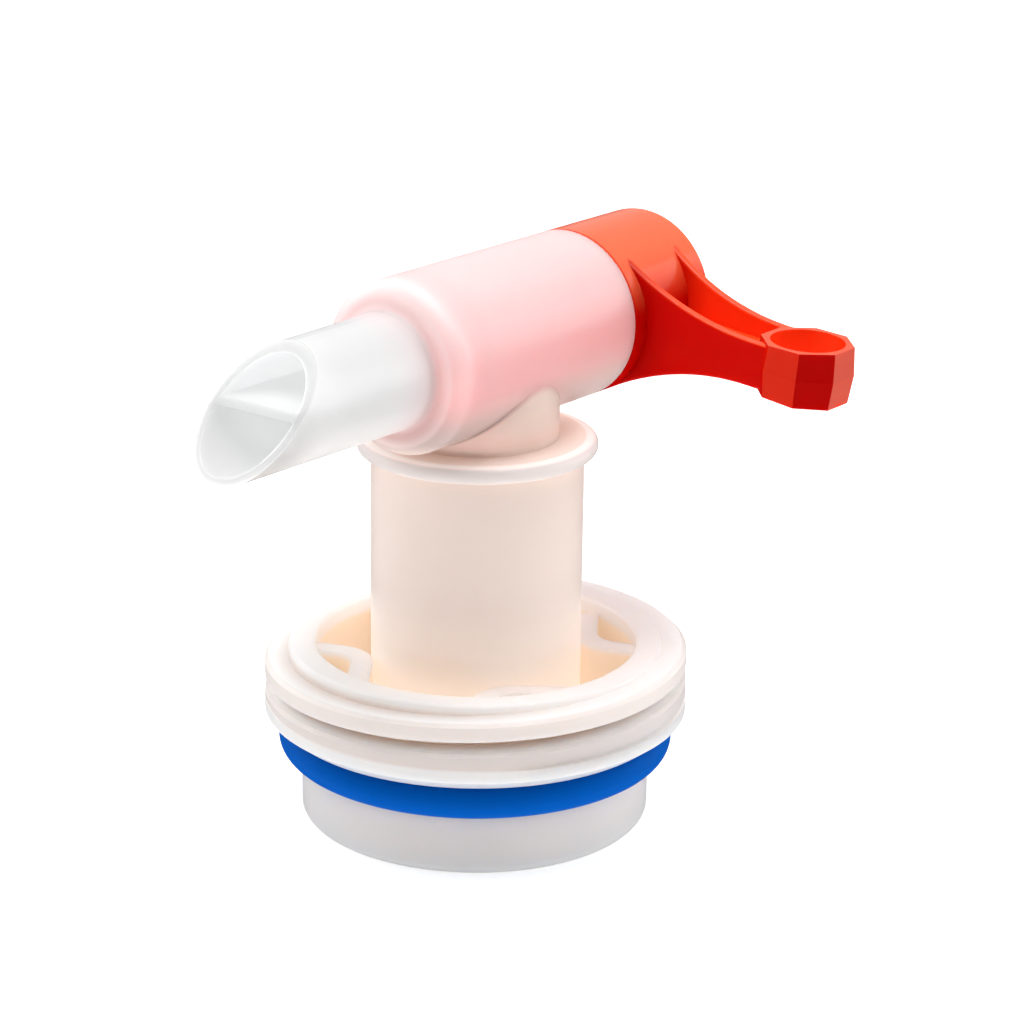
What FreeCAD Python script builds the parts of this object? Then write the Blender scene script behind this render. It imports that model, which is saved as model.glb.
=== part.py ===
"""Drum drain tap: a lever tap with an air channel, screwed into a two-inch drum plug.

Units are millimetres. The origin is the centre of the plug's bottom face, +Z runs up the
neck, +X is the way the spout points, and the lever points to +Y when the tap is shut.
"""

import FreeCAD, Part

import math
import os

V = FreeCAD.Vector
UP = V(0, 0, 1)
FORWARD = V(1, 0, 0)

# Drum plug: overall form
PLUG_HEIGHT = 24.0
SKIRT_R = 23.15
SKIRT_HEIGHT = 8.4
BOTTOM_ROUND = 1.2
RIM_INNER_R = 21.2
CUP_FLOOR_R = 20.2
RIM_ROUND = 0.5
FLOOR_THICKNESS = 2.5
INLET_R = 10.0

# Drum plug: coarse thread and the collar under it
THREAD_CREST_R = 28.0
THREAD_DEPTH = 3.2
THREAD_PITCH = 4.0
THREAD_CREST_WIDTH = 2.3
THREAD_LOWER_FLANK = 1.2
THREAD_UPPER_FLANK = 0.15
THREAD_START_DEG = -90.0
THREAD_START_Z = 15.0
THREAD_END_BELOW_RIM = 1.58
THREAD_CREST_BEVEL = 0.4
THREAD_TOP_GAP = 0.3
THREAD_TOP_BEVEL = 0.7
THREAD_ROOT_SUNK = 0.6
COLLAR_OVER_THREAD = 0.05
COLLAR_TOP = 16.5
COLLAR_EDGE_Z = 14.9
COLLAR_FOOT_R = 26.0

# Drum plug: seal
O_RING_SECTION = 4.8
O_RING_FIT = 0.05
GROOVE_DEPTH = 1.8

# Drum plug: socket for the tap and lugs for the plug wrench
SOCKET_WALL = 2.7
SOCKET_HEIGHT = 13.5
SOCKET_FIT = 0.1
LUG_COUNT = 4
LUG_ANGLE_DEG = 35.4
LUG_WALL = 2.9
LUG_INNER = 13.1
LUG_BEND = 1.8
LUG_BEND_R = 6.2
LUG_END = 14.0
LUG_FOOT_SLANT_DEG = 14.3
LUG_BELOW_RIM = 1.6

# Tap body: foot, neck and flange
FOOT_R = 13.1
FOOT_BEVEL = 0.8
WASHER_THICKNESS = 2.0
WASHER_FIT = 0.25
NECK_R = 13.9
NECK_GAP = 0.2
NECK_BORE_R = 11.2
FLANGE_R = 15.7
FLANGE_THICKNESS = 2.2
FLANGE_UNDERSIDE = 49.9
FLANGE_ROUND = 1.0
PEDESTAL_R = 10.6
PEDESTAL_BORE_R = 8.4
PARTITION = 1.0
PARTITION_X = -2.8

# Tap body: valve barrel and spout
BARREL_ABOVE_FLANGE = 1.0
BARREL_R = 11.27
BARREL_BACK_X = -19.0
BARREL_FRONT_X = 17.8
BARREL_FRONT_ROUND = 2.4
BARREL_BACK_ROUND = 0.35
BARREL_FRONT_WALL = 3.3
SPOUT_ROOT_R = 7.58
SPOUT_TIP_R = 7.36
SPOUT_WALL = 1.1
SPOUT_FLARE = 1.2
SPOUT_AXIS_LENGTH = 42.6
SPOUT_CUT_SLOPE = 1.0
DIVIDER = 0.8
DIVIDER_ABOVE_AXIS = 0.55
PORT_LENGTH = 8.0
WINDOW_HALF_WIDTH = 5.2

# Valve core, moulded in one with the lever
CORE_R = 9.42
CORE_FIT = 0.08
CORE_WALL = 1.52
CORE_END_GAP = 0.3
CAP_END_X = -36.0
CAP_WALL = 3.0
CAP_ROUND = 0.6
CAP_GAP = 0.15
SNAP_X = 11.2
SNAP_WIDTH = 1.6
SNAP_HEIGHT = 0.42
SNAP_SIDE_GAP = 0.15
SHUT_ANGLE_DEG = -95.6

# Lever
LEVER_BEHIND_SHOULDER = 7.55
RIB_THICKNESS = 1.3
RIB_TIP_OFFSET = 4.9
RIB_PLAN_R = 150.0
RIB_PLAN_START = 24.0
RIB_TIP_HALF_HEIGHT = 3.05
RIB_SIDE_START = 27.3
RIB_EDGE_ROUND = 0.4
WEB_THICKNESS = 1.2
EYE_DISTANCE = 32.7
EYE_FLATS = 12.0
EYE_END_FLATS = 11.3
EYE_HOLE_R = 4.9
EYE_NEAR_HEIGHT = 6.8
EYE_TIP_HEIGHT = 7.6

# Sizes that follow from the ones above
THREAD_ROOT_R = THREAD_CREST_R - THREAD_DEPTH
THREAD_RISE = PLUG_HEIGHT - THREAD_END_BELOW_RIM - THREAD_START_Z
GROOVE_R = SKIRT_R - GROOVE_DEPTH
GROOVE_TOP = SKIRT_HEIGHT + O_RING_SECTION + 4 * O_RING_FIT
O_RING_Z = (SKIRT_HEIGHT + GROOVE_TOP) / 2
O_RING_R = GROOVE_R + O_RING_FIT + O_RING_SECTION / 2
SOCKET_R = FOOT_R + SOCKET_FIT
FOOT_Z = FLOOR_THICKNESS + WASHER_THICKNESS
NECK_Z = SOCKET_HEIGHT + NECK_GAP
FLANGE_TOP = FLANGE_UNDERSIDE + FLANGE_THICKNESS
AXIS_Z = FLANGE_TOP + BARREL_ABOVE_FLANGE + BARREL_R
BARREL_BORE_R = CORE_R + CORE_FIT
BARREL_BORE_END_X = BARREL_FRONT_X - BARREL_FRONT_WALL
SPOUT_BORE_R = SPOUT_TIP_R - SPOUT_WALL
SPOUT_REACH_X = SPOUT_AXIS_LENGTH + SPOUT_CUT_SLOPE * SPOUT_ROOT_R
CORE_BORE_R = CORE_R - CORE_WALL
CORE_FRONT_X = BARREL_BORE_END_X - CORE_END_GAP
CAP_SHOULDER_X = BARREL_BACK_X - CAP_GAP
LEVER_X = CAP_SHOULDER_X - LEVER_BEHIND_SHOULDER
CAP_LENGTH = CAP_SHOULDER_X - CAP_END_X


def outline(start, *steps):
    """Closed wire of lines to a point, and of arcs given as (point on the arc, end)."""
    edges = []
    here = start
    for step in steps:
        if isinstance(step, tuple):
            edges.append(Part.Arc(here, step[0], step[1]).toShape())
            here = step[1]
        else:
            edges.append(Part.makeLine(here, step))
            here = step
    edges.append(Part.makeLine(here, start))
    return Part.Wire(edges)


def corner(centre_a, centre_b, radius, angle_deg):
    """Point (a, b) at an angle on a circle, for rounded corners of a section."""
    angle = math.radians(angle_deg)
    return centre_a + radius * math.cos(angle), centre_b + radius * math.sin(angle)


def upright(r, z):
    """Section point of a shape turned about the neck's axis."""
    return V(r, 0, z)


def along(x, r):
    """Section point of a shape turned about the barrel's axis."""
    return V(x, 0, AXIS_Z + r)


def turned_upright(wire):
    return Part.Face(wire).revolve(V(0, 0, 0), UP, 360)


def turned_along(wire):
    return Part.Face(wire).revolve(V(0, 0, AXIS_Z), FORWARD, 360)


def rod_along(radius, x_low, x_high):
    return Part.makeCylinder(radius, x_high - x_low, V(x_low, 0, AXIS_Z), FORWARD)


def rod_upright(radius, z_low, z_high):
    return Part.makeCylinder(radius, z_high - z_low, V(0, 0, z_low), UP)


def block(low, high):
    return Part.makeBox(high[0] - low[0], high[1] - low[1], high[2] - low[2], V(*low))


def prism(points, depth):
    """Solid from a closed polygon of points, pushed along a vector."""
    return Part.Face(Part.makePolygon(points + [points[0]])).extrude(depth)


def thread_ridge():
    """One coarse helical ridge: nearly flat flank on top, sloping flank below."""
    crest = THREAD_CREST_R - COLLAR_OVER_THREAD
    root = THREAD_ROOT_R - THREAD_ROOT_SUNK
    helix = Part.makeHelix(THREAD_PITCH, THREAD_RISE, crest)
    section = Part.makePolygon([
        V(root, 0, -THREAD_LOWER_FLANK),
        V(crest, 0, 0),
        V(crest, 0, THREAD_CREST_WIDTH - THREAD_CREST_BEVEL),
        V(crest - THREAD_CREST_BEVEL, 0, THREAD_CREST_WIDTH),
        V(root, 0, THREAD_CREST_WIDTH + THREAD_UPPER_FLANK),
        V(root, 0, -THREAD_LOWER_FLANK),
    ])
    ridge = Part.Wire(helix).makePipeShell([section], True, True)
    ridge.rotate(V(0, 0, 0), UP, THREAD_START_DEG)
    ridge.translate(V(0, 0, THREAD_START_Z))
    return ridge.cut(thread_top_cut())


def thread_top_cut():
    """Everything above the thread's bevelled top end."""
    top = PLUG_HEIGHT - THREAD_TOP_GAP
    low_r = THREAD_ROOT_R - THREAD_DEPTH
    high_r = THREAD_CREST_R + THREAD_DEPTH
    return turned_upright(outline(
        upright(low_r, top),
        upright(THREAD_CREST_R - THREAD_TOP_BEVEL, top),
        upright(THREAD_CREST_R, top - THREAD_TOP_BEVEL),
        upright(high_r, top - THREAD_TOP_BEVEL),
        upright(high_r, top + PLUG_HEIGHT),
        upright(low_r, top + PLUG_HEIGHT)))


def plug_core():
    """Skirt, seal groove, collar and rim as one turned form."""
    bottom_a, bottom_b = corner(SKIRT_R - BOTTOM_ROUND, BOTTOM_ROUND, BOTTOM_ROUND, -45)
    rim_a, rim_b = corner(THREAD_ROOT_R - RIM_ROUND, PLUG_HEIGHT - RIM_ROUND, RIM_ROUND, 45)
    return turned_upright(outline(
        upright(0, 0),
        upright(SKIRT_R - BOTTOM_ROUND, 0),
        (upright(bottom_a, bottom_b), upright(SKIRT_R, BOTTOM_ROUND)),
        upright(SKIRT_R, SKIRT_HEIGHT),
        upright(GROOVE_R, SKIRT_HEIGHT),
        upright(GROOVE_R, GROOVE_TOP),
        upright(COLLAR_FOOT_R, GROOVE_TOP),
        upright(THREAD_CREST_R, COLLAR_EDGE_Z),
        upright(THREAD_CREST_R, COLLAR_TOP),
        upright(THREAD_ROOT_R, COLLAR_TOP),
        upright(THREAD_ROOT_R, PLUG_HEIGHT - RIM_ROUND),
        (upright(rim_a, rim_b), upright(THREAD_ROOT_R - RIM_ROUND, PLUG_HEIGHT)),
        upright(0, PLUG_HEIGHT)))


def plug_cup():
    """Hollow of the cup, slightly narrower at the floor, with a rounded mouth."""
    mouth_a, mouth_b = corner(RIM_INNER_R + RIM_ROUND, PLUG_HEIGHT - RIM_ROUND, RIM_ROUND, 135)
    return turned_upright(outline(
        upright(0, FLOOR_THICKNESS),
        upright(CUP_FLOOR_R, FLOOR_THICKNESS),
        upright(RIM_INNER_R, PLUG_HEIGHT - RIM_ROUND),
        (upright(mouth_a, mouth_b), upright(RIM_INNER_R + RIM_ROUND, PLUG_HEIGHT)),
        upright(0, PLUG_HEIGHT)))


def wrench_lug():
    """One bent wall: a slanting foot from the cup's side, then a chord round the neck."""
    turn = 90 - LUG_FOOT_SLANT_DEG
    centre_a = LUG_INNER + LUG_BEND_R
    centre_b = LUG_BEND + LUG_BEND_R * math.tan(math.radians(turn / 2))
    reach = RIM_INNER_R + RIM_ROUND - LUG_INNER

    def point(radius, angle_deg, outwards=0.0):
        a, b = corner(centre_a, centre_b, radius, angle_deg)
        out_a, out_b = corner(a, b, outwards, -LUG_FOOT_SLANT_DEG)
        return V(out_a, out_b, FLOOR_THICKNESS)

    near = LUG_BEND_R
    back = LUG_BEND_R - LUG_WALL
    foot = 180 + turn
    foot_length = (reach - LUG_BEND_R * (1 - math.cos(math.radians(turn)))) / math.cos(
        math.radians(LUG_FOOT_SLANT_DEG))
    wire = outline(
        V(LUG_INNER, LUG_END, FLOOR_THICKNESS),
        point(near, 180),
        (point(near, 180 + turn / 2), point(near, foot)),
        point(near, foot, foot_length),
        point(back, foot, foot_length),
        point(back, foot),
        (point(back, 180 + turn / 2), point(back, 180)),
        V(LUG_INNER + LUG_WALL, LUG_END, FLOOR_THICKNESS))
    height = PLUG_HEIGHT - LUG_BELOW_RIM - FLOOR_THICKNESS
    return Part.Face(wire).extrude(V(0, 0, height))


def drum_plug():
    cup = plug_cup()
    shell = plug_core().fuse(thread_ridge()).cut(cup)
    socket = rod_upright(SOCKET_R + SOCKET_WALL, FLOOR_THICKNESS, SOCKET_HEIGHT)
    lugs = []
    for number in range(LUG_COUNT):
        lug = wrench_lug()
        lug.rotate(V(0, 0, 0), UP, LUG_ANGLE_DEG + number * 360 / LUG_COUNT)
        lugs.append(lug.common(plug_core()))
    shell = shell.fuse([socket] + lugs)
    bore = rod_upright(SOCKET_R, FLOOR_THICKNESS, PLUG_HEIGHT)
    return shell.cut([bore, rod_upright(INLET_R, 0, FLOOR_THICKNESS)]).removeSplitter()


def plug_o_ring():
    return Part.makeTorus(O_RING_R, O_RING_SECTION / 2, V(0, 0, O_RING_Z), UP)


def foot_washer():
    outer = rod_upright(SOCKET_R - WASHER_FIT, FLOOR_THICKNESS, FOOT_Z)
    return outer.cut(rod_upright(INLET_R + WASHER_FIT, FLOOR_THICKNESS, FOOT_Z))


def neck_form():
    """Foot, neck, flange and pedestal as one turned form, up to the barrel's axis."""
    low_a, low_b = corner(FLANGE_R - FLANGE_ROUND, FLANGE_UNDERSIDE + FLANGE_ROUND,
                          FLANGE_ROUND, -45)
    top_a, top_b = corner(FLANGE_R - FLANGE_ROUND, FLANGE_TOP - FLANGE_ROUND,
                          FLANGE_ROUND, 45)
    return turned_upright(outline(
        upright(0, FOOT_Z),
        upright(FOOT_R - FOOT_BEVEL, FOOT_Z),
        upright(FOOT_R, FOOT_Z + FOOT_BEVEL),
        upright(FOOT_R, NECK_Z),
        upright(NECK_R, NECK_Z),
        upright(NECK_R, FLANGE_UNDERSIDE),
        upright(FLANGE_R - FLANGE_ROUND, FLANGE_UNDERSIDE),
        (upright(low_a, low_b), upright(FLANGE_R, FLANGE_UNDERSIDE + FLANGE_ROUND)),
        upright(FLANGE_R, FLANGE_TOP - FLANGE_ROUND),
        (upright(top_a, top_b), upright(FLANGE_R - FLANGE_ROUND, FLANGE_TOP)),
        upright(PEDESTAL_R, FLANGE_TOP),
        upright(PEDESTAL_R, AXIS_Z),
        upright(0, AXIS_Z)))


def barrel_form():
    """Barrel and spout as one turned form, the spout longer than it ends up."""
    back_a, back_b = corner(BARREL_BACK_X + BARREL_BACK_ROUND, BARREL_R - BARREL_BACK_ROUND,
                            BARREL_BACK_ROUND, 135)
    front_a, front_b = corner(BARREL_FRONT_X - BARREL_FRONT_ROUND,
                              BARREL_R - BARREL_FRONT_ROUND, BARREL_FRONT_ROUND, 45)
    flare_a, flare_b = corner(BARREL_FRONT_X + SPOUT_FLARE, SPOUT_ROOT_R + SPOUT_FLARE,
                              SPOUT_FLARE, 225)
    return turned_along(outline(
        along(BARREL_BACK_X, 0),
        along(BARREL_BACK_X, BARREL_R - BARREL_BACK_ROUND),
        (along(back_a, back_b), along(BARREL_BACK_X + BARREL_BACK_ROUND, BARREL_R)),
        along(BARREL_FRONT_X - BARREL_FRONT_ROUND, BARREL_R),
        (along(front_a, front_b), along(BARREL_FRONT_X, BARREL_R - BARREL_FRONT_ROUND)),
        along(BARREL_FRONT_X, SPOUT_ROOT_R + SPOUT_FLARE),
        (along(flare_a, flare_b), along(BARREL_FRONT_X + SPOUT_FLARE, SPOUT_ROOT_R)),
        along(SPOUT_REACH_X, SPOUT_TIP_R),
        along(SPOUT_REACH_X, 0)))


def spout_end_cut():
    """Everything past the slanting plane that ends the spout, short side on top."""
    reach = 2 * SPOUT_ROOT_R
    shift = SPOUT_CUT_SLOPE * reach
    low = V(SPOUT_AXIS_LENGTH + shift, -reach, AXIS_Z - reach)
    high = V(SPOUT_AXIS_LENGTH - shift, -reach, AXIS_Z + reach)
    far_x = SPOUT_REACH_X + shift
    return prism([low, high, V(far_x + reach, -reach, AXIS_Z + reach),
                  V(far_x + reach, -reach, AXIS_Z - reach)], V(0, 2 * reach, 0))


def divider_slab(x_low, x_high):
    """Level wall that parts the air channel above from the liquid channel below."""
    middle = AXIS_Z + DIVIDER_ABOVE_AXIS
    return block((x_low, -BARREL_R, middle - DIVIDER / 2), (x_high, BARREL_R, middle + DIVIDER / 2))


def partition_slab(z_low, z_high):
    """Upright wall that parts the air side of the neck from its liquid side."""
    return block((PARTITION_X - PARTITION / 2, -NECK_R, z_low),
                 (PARTITION_X + PARTITION / 2, NECK_R, z_high))


def tap_body():
    solid = neck_form().fuse(barrel_form())
    barrel_outside = rod_along(BARREL_R, BARREL_BACK_X, BARREL_FRONT_X)
    neck_bore = rod_upright(NECK_BORE_R, FOOT_Z, FLANGE_UNDERSIDE - PARTITION)
    pedestal_bore = rod_upright(PEDESTAL_BORE_R, FOOT_Z, AXIS_Z).cut(barrel_outside)
    window = block((-PORT_LENGTH, -WINDOW_HALF_WIDTH, FLANGE_TOP),
                   (PORT_LENGTH, WINDOW_HALF_WIDTH, AXIS_Z - BARREL_BORE_R / 2))
    passages = neck_bore.fuse([pedestal_bore, window]).cut(partition_slab(0, AXIS_Z))
    valve_bore = rod_along(BARREL_BORE_R, BARREL_BACK_X, BARREL_BORE_END_X)
    snap_groove = rod_along(BARREL_BORE_R + SNAP_HEIGHT,
                            SNAP_X - SNAP_WIDTH / 2 - SNAP_SIDE_GAP,
                            SNAP_X + SNAP_WIDTH / 2 + SNAP_SIDE_GAP)
    channels = rod_along(SPOUT_BORE_R, BARREL_BORE_END_X, SPOUT_REACH_X)
    channels = channels.cut(divider_slab(BARREL_BORE_END_X, SPOUT_REACH_X))
    return solid.cut([passages, valve_bore, snap_groove, channels, spout_end_cut()])


def core_form():
    """Hollow valve core with its snap bead, and the closed cap behind it."""
    end_a, end_b = corner(CAP_END_X + CAP_ROUND, BARREL_R - CAP_ROUND, CAP_ROUND, 135)
    bead_low = SNAP_X - SNAP_WIDTH / 2
    bead_high = SNAP_X + SNAP_WIDTH / 2
    return turned_along(outline(
        along(CAP_END_X, 0),
        along(CAP_END_X, BARREL_R - CAP_ROUND),
        (along(end_a, end_b), along(CAP_END_X + CAP_ROUND, BARREL_R)),
        along(CAP_SHOULDER_X, BARREL_R),
        along(CAP_SHOULDER_X, CORE_R),
        along(bead_low, CORE_R),
        along(bead_low + SNAP_HEIGHT, CORE_R + SNAP_HEIGHT),
        along(bead_high - SNAP_HEIGHT, CORE_R + SNAP_HEIGHT),
        along(bead_high, CORE_R),
        along(CORE_FRONT_X, CORE_R),
        along(CORE_FRONT_X, CORE_BORE_R),
        along(CAP_END_X + CAP_WALL, CORE_BORE_R),
        along(CAP_END_X + CAP_WALL, 0)))


def core_walls():
    """Divider and upright wall inside the core, in line with those of the body when open."""
    level = divider_slab(PARTITION_X - PARTITION / 2, CORE_FRONT_X)
    upright_wall = partition_slab(AXIS_Z - BARREL_R, AXIS_Z + DIVIDER_ABOVE_AXIS)
    inside = rod_along((CORE_R + CORE_BORE_R) / 2, CAP_SHOULDER_X, CORE_FRONT_X)
    return level.fuse(upright_wall).common(inside)


def core_ports():
    """Openings of the core over the body's window, parted like the neck below."""
    opening = block((-PORT_LENGTH, -WINDOW_HALF_WIDTH, AXIS_Z - BARREL_R),
                    (PORT_LENGTH, WINDOW_HALF_WIDTH, AXIS_Z - CORE_BORE_R / 2))
    return opening.cut(partition_slab(0, AXIS_Z))


def lever_side_form():
    """Side view of the ribs: a waist that runs tangent to the cap at both ends."""
    flat = RIB_TIP_HALF_HEIGHT
    start = RIB_SIDE_START
    radius = (start ** 2 + flat ** 2 - BARREL_R ** 2) / (2 * (BARREL_R - flat))
    to_centre = math.hypot(start, flat + radius)
    touch_w = BARREL_R * (flat + radius) / to_centre
    touch_u = BARREL_R * start / to_centre
    middle = math.atan2(touch_w - flat - radius, touch_u - start)
    middle = (middle + math.radians(-90)) / 2
    mid_w = flat + radius + radius * math.sin(middle)
    mid_u = start + radius * math.cos(middle)
    tip = EYE_DISTANCE

    def point(w, u):
        return V(CAP_END_X, w, AXIS_Z + u)

    wire = outline(
        point(flat, tip),
        point(flat, start),
        (point(mid_w, mid_u), point(touch_w, touch_u)),
        point(0, 0),
        point(-touch_w, touch_u),
        (point(-mid_w, mid_u), point(-flat, start)),
        point(-flat, tip))
    return Part.Face(wire).extrude(V(CAP_LENGTH, 0, 0))


def lever_plan_form(inset):
    """Plan of the lever between its ribs' outer faces, waisted towards the eye."""
    offset = RIB_TIP_OFFSET - inset
    radius = RIB_PLAN_R + inset
    start = RIB_PLAN_START

    def reach(u):
        return offset + radius - math.sqrt(radius ** 2 - (start - u) ** 2)

    def point(x, u):
        return V(LEVER_X + x, -BARREL_R, AXIS_Z + u)

    half = start / 2
    wire = outline(
        point(offset, EYE_DISTANCE),
        point(offset, start),
        (point(reach(half), half), point(reach(0), 0)),
        point(-reach(0), 0),
        (point(-reach(half), half), point(-offset, start)),
        point(-offset, EYE_DISTANCE))
    return Part.Face(wire).extrude(V(0, 2 * BARREL_R, 0))


def octagon(flats, w):
    """Eight-sided wire round the lever's eye, with flats square to the lever."""
    radius = flats / 2 / math.cos(math.pi / 8)
    points = []
    for number in range(9):
        angle = math.pi / 8 + number * math.pi / 4
        points.append(V(LEVER_X + radius * math.cos(angle), w,
                        AXIS_Z + EYE_DISTANCE + radius * math.sin(angle)))
    return Part.makePolygon(points)


def lever_eye():
    """Eight-sided eye, widest at its middle, and taller towards the lever's tip."""
    half = EYE_TIP_HEIGHT / 2
    upper = Part.makeLoft([octagon(EYE_FLATS, 0), octagon(EYE_END_FLATS, half)], True, True)
    lower = Part.makeLoft([octagon(EYE_END_FLATS, -half), octagon(EYE_FLATS, 0)], True, True)
    near = EYE_DISTANCE - EYE_FLATS / 2
    far = EYE_DISTANCE + EYE_FLATS / 2
    x = LEVER_X - EYE_FLATS
    wedge = prism([V(x, -EYE_NEAR_HEIGHT / 2, AXIS_Z + near), V(x, -half, AXIS_Z + far),
                   V(x, half, AXIS_Z + far), V(x, EYE_NEAR_HEIGHT / 2, AXIS_Z + near)],
                  V(2 * EYE_FLATS, 0, 0))
    return upper.fuse(lower).common(wedge)


def softened(ribs):
    """The ribs with the long edges of their tops and bottoms rounded."""
    edges = []
    for edge in ribs.Edges:
        box = edge.BoundBox
        beside_cap = box.ZMin > AXIS_Z + RIB_THICKNESS
        on_top_or_bottom = min(abs(box.YMin), abs(box.YMax)) > RIB_TIP_HALF_HEIGHT - RIB_EDGE_ROUND
        if beside_cap and on_top_or_bottom and edge.Length > 2 * RIB_THICKNESS:
            edges.append(edge)
    return ribs.makeFillet(RIB_EDGE_ROUND, edges)


def lever_arm():
    """Two curved ribs joined by a thin web, an H in section, with the eye at the tip."""
    side = lever_side_form()
    outside = lever_plan_form(0)
    inside = lever_plan_form(RIB_THICKNESS)
    ribs = softened(outside.cut(inside).common(side))
    web_slab = block((CAP_END_X, -WEB_THICKNESS / 2, AXIS_Z),
                     (CAP_SHOULDER_X, WEB_THICKNESS / 2, AXIS_Z + EYE_DISTANCE))
    web = outside.common(web_slab)
    arm = ribs.fuse([web, lever_eye()])
    cap_hollow = rod_along((BARREL_R + CORE_BORE_R) / 2, CAP_END_X, CAP_SHOULDER_X)
    hole = Part.makeCylinder(EYE_HOLE_R, 2 * EYE_TIP_HEIGHT,
                             V(LEVER_X, -EYE_TIP_HEIGHT, AXIS_Z + EYE_DISTANCE), V(0, 1, 0))
    return arm.cut([cap_hollow, hole])


def lever_core():
    """Core, cap and lever in one piece, turned from open to shut."""
    core = core_form().fuse(core_walls()).cut(core_ports())
    piece = core.fuse(lever_arm()).removeSplitter()
    piece.rotate(V(0, 0, AXIS_Z), FORWARD, SHUT_ANGLE_DEG)
    return piece


def one_solid(shape):
    """The single solid of a shape that holds just one."""
    if len(shape.Solids) != 1:
        raise ValueError("expected one solid, found %d" % len(shape.Solids))
    return shape.Solids[0]


PIECES = {
    "drum_plug": drum_plug,
    "plug_o_ring": plug_o_ring,
    "foot_washer": foot_washer,
    "tap_body": tap_body,
    "lever_core": lever_core,
}


def main():
    os.makedirs("parts", exist_ok=True)
    for name, make in PIECES.items():
        piece = one_solid(make())
        piece.exportStep("parts/%s.step" % name)
        print(name, "volume %.0f mm3" % piece.Volume, "valid", piece.isValid())


if __name__ == "__main__":
    main()
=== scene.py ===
"""Looks for a lever-operated drum drain tap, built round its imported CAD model."""

import bpy
from bpy.props import FloatProperty, FloatVectorProperty, PointerProperty
from mathutils import Matrix, Vector


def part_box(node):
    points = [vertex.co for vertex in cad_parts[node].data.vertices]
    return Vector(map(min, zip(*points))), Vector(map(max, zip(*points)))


bl_info = {
    "name": "Drum Drain Tap",
    "version": (1, 0, 0),
    "blender": (4, 5, 0),
    "location": "View3D > Sidebar > Drum Tap",
    "description": "Dresses a plastic drum drain tap and sets a plain studio round it",
    "category": "Object",
}

MM = 0.001

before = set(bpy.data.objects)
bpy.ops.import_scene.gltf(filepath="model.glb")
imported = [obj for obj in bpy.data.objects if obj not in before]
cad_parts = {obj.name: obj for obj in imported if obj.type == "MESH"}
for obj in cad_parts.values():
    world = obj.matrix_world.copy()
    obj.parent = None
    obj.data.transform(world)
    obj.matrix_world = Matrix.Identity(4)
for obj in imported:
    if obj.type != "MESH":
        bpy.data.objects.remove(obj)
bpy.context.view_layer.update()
_, body_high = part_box("tap_body")

# Places on the tap at rest, in metres, in the same frame as the CAD model
BARREL_R = 11.27 * MM
BARREL_AXIS_Z = body_high.z - BARREL_R
BARREL_FRONT_X = 17.8 * MM
SPOUT_END_X = 42.6 * MM
SPOUT_BORE_R = 6.26 * MM
DIVIDER_Z = BARREL_AXIS_Z + 0.55 * MM
FLANGE_TOP_Z = 52.1 * MM
CUP_R = 21.2 * MM
THREAD_ROOT_R = 24.8 * MM
THREAD_CREST_R = 28.0 * MM
THREAD_TOP_Z = 23.0 * MM
COLLAR_TOP_Z = 16.5 * MM
EYE_X = -26.7 * MM
EYE_Y = 32.54 * MM
EYE_R = 5.3 * MM
EYE_START_Y = 26.8 * MM

# Directions on the tap at rest
UP = (0.0, 0.0, 1.0)
TO_SPOUT = (1.0, 0.0, 0.0)
FROM_SPOUT = (-1.0, 0.0, 0.0)
TO_EYE = (0.0, 1.0, 0.0)
EYE_CORNER = (0.707, 0.707, 0.0)
# Facing of the skyline, where painted shade greys the barrel and the spout
SKYLINE_SHADE_FACING = (0.0, -0.48, 0.88)

# Side of the studio that a black flag shades
DARK_SIDE = (0.749, 0.581, 0.318)
# Name, place and size of each softbox, and the setting that holds its power
LIGHT_TARGET = (0.0, 0.0, 40 * MM)
SOFTBOXES = (
    ("top_softbox", (0.05, 0.02, 0.60), 0.55, "top_light"),
    ("left_softbox", (0.16, -0.50, 0.30), 0.45, "side_light"),
    ("right_softbox", (-0.42, 0.36, 0.14), 0.40, "side_light"),
)
# Camera at the photo's angle
CAMERA_PLACE = (0.293897, 0.233747, 0.167505)
CAMERA_RIGHT = (-0.616043, 0.787620, 0.012094)
CAMERA_UP = (-0.243779, -0.205228, 0.947868)
CAMERA_BACK = (0.749041, 0.580979, 0.318434)


def colour_property(name, description, default):
    """A colour that a user can change."""
    return FloatVectorProperty(name=name, description=description, default=default,
                               subtype="COLOR", size=3, min=0.0, max=1.0)


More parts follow.
